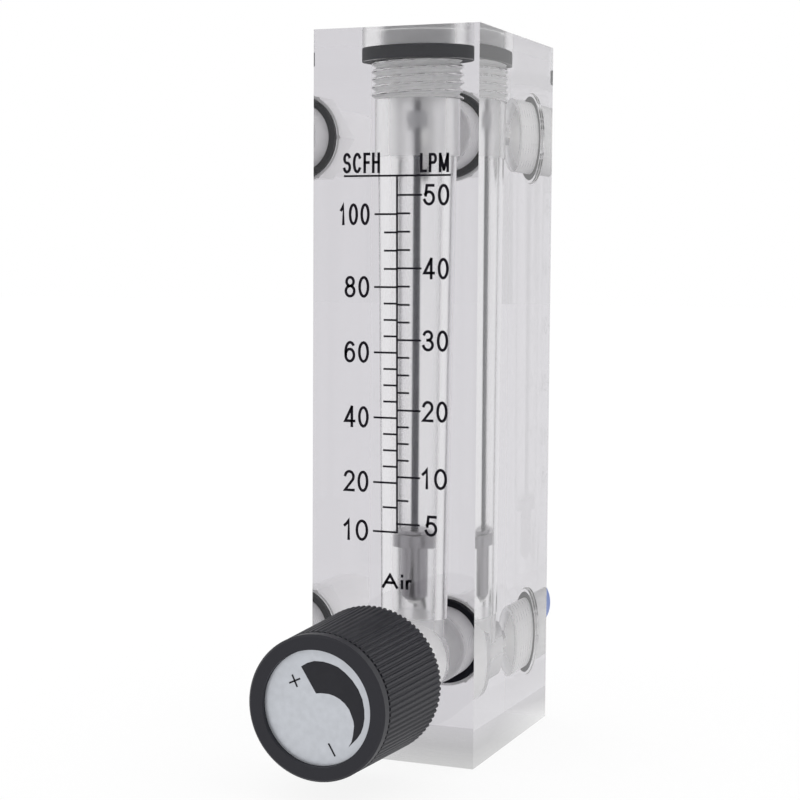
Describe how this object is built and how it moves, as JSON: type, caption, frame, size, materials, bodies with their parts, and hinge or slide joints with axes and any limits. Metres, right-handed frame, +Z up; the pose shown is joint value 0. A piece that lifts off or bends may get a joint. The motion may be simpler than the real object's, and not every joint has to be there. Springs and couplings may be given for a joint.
{
  "type": "rotameter",
  "caption": "Clear acrylic variable-area flow meter with a float on a guide rod, a needle valve with a ribbed knob in front and push-in tube fittings behind.",
  "frame": {"origin": "middle of the block's bottom face", "axes": "+X to the right and +Y to the back as seen from the knob's side, +Z up along the metering tube"},
  "size_m": [0.03, 0.1022, 0.125],
  "materials": {
    "acrylic": "polished clear acrylic",
    "frosted_plastic": "translucent white plastic",
    "white_plastic": "moulded, semi-gloss",
    "white_seal": "smooth, matte",
    "black_rubber": "smooth rubber",
    "black_plastic": "matte moulded",
    "silver_label": "satin",
    "steel": "ground",
    "float_metal": "turned",
    "blue_plastic": "moulded"
  },
  "bodies": {
    "block": {"meter_body": "acrylic", "top_plug": "frosted_plastic", "top_plug_o_ring": "black_rubber", "guide_rod": "steel", "rod_top_stop": "steel", "rod_end_stop": "white_plastic", "valve_cartridge": "frosted_plastic", "cartridge_gasket": "white_seal", "upper_fitting_body": "white_plastic", "upper_port_o_ring": "black_rubber", "upper_tube_o_ring": "black_rubber", "upper_collet": "white_plastic", "upper_locking_clip": "white_plastic", "lower_fitting_body": "white_plastic", "lower_port_o_ring": "black_rubber", "lower_tube_o_ring": "black_rubber", "lower_collet": "white_plastic", "lower_locking_clip": "blue_plastic"},
    "float": {"float": "float_metal"},
    "stem_seal": {"stem_o_ring": "black_rubber"},
    "knob": {"valve_stem": "steel", "knob": "black_plastic", "knob_disc": "silver_label", "knob_screw": "steel"}
  },
  "joints": [
    {"name": "float_rise", "type": "slide", "parent": "block", "child": "float", "axis": [0, 0, 1], "range_m": [0, 0.0702]},
    {"name": "stem_travel", "type": "slide", "parent": "block", "child": "stem_seal", "axis": [0, -1, 0], "range_m": [-0.00226, 0.00151]},
    {"name": "knob_turn", "type": "hinge", "parent": "stem_seal", "child": "knob", "pos_m": [0, -0.02, 0.016], "axis": [0, -1, 0], "range_deg": [-1080, 720]}
  ],
  "couplings": [
    {"joint": "stem_travel", "follows": "knob_turn", "m_per_rad": 0.00011937}
  ]
}
